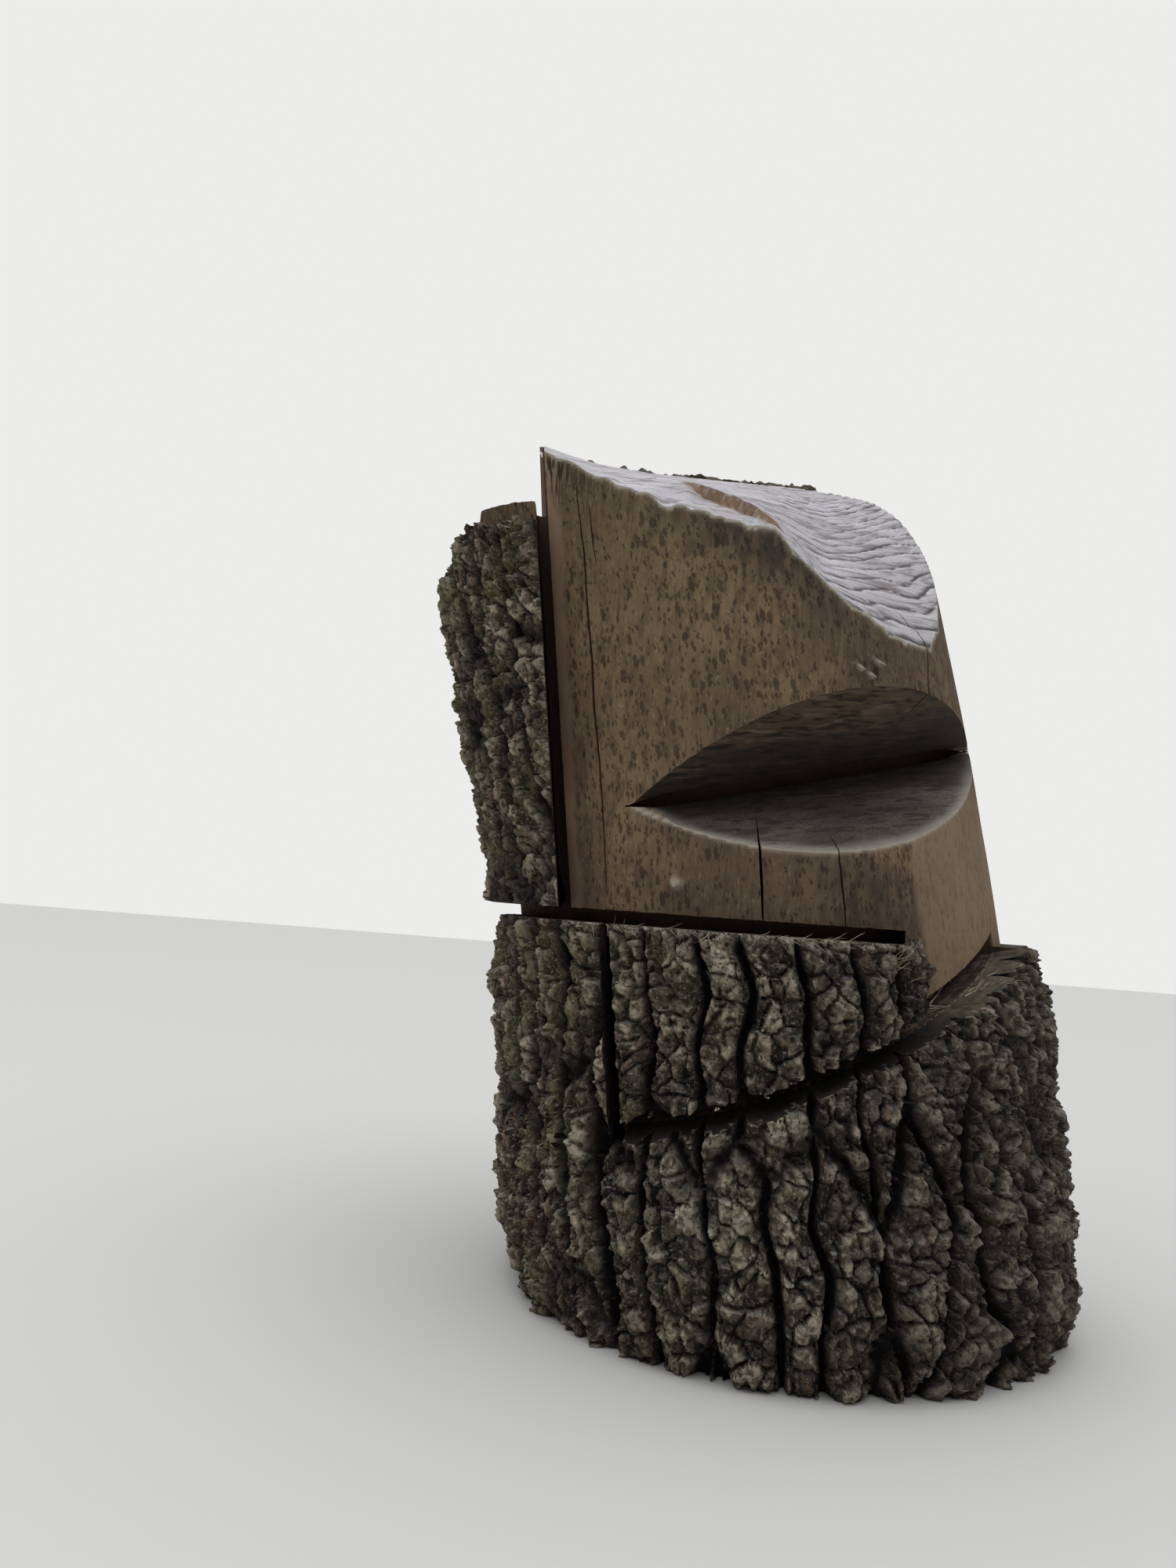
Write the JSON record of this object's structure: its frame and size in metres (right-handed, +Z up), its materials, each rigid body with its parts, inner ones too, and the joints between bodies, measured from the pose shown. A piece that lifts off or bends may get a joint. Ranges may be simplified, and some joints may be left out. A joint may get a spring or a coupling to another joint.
{
  "type": "wood log",
  "caption": "Upright thick-barked log on a flat sawn base, half peeled, with saw kerfs, a wedge-shaped notch in its side and a slanting sawn top.",
  "frame": {"origin": "middle of the flat sawn base", "axes": "+Z up the log, -Y towards the front with the notch, +X to the right seen from the front"},
  "size_m": [0.515, 0.443, 0.7564],
  "materials": {
    "weathered_log": "rough"
  },
  "bodies": {
    "root": {"log": "weathered_log"}
  },
  "joints": []
}
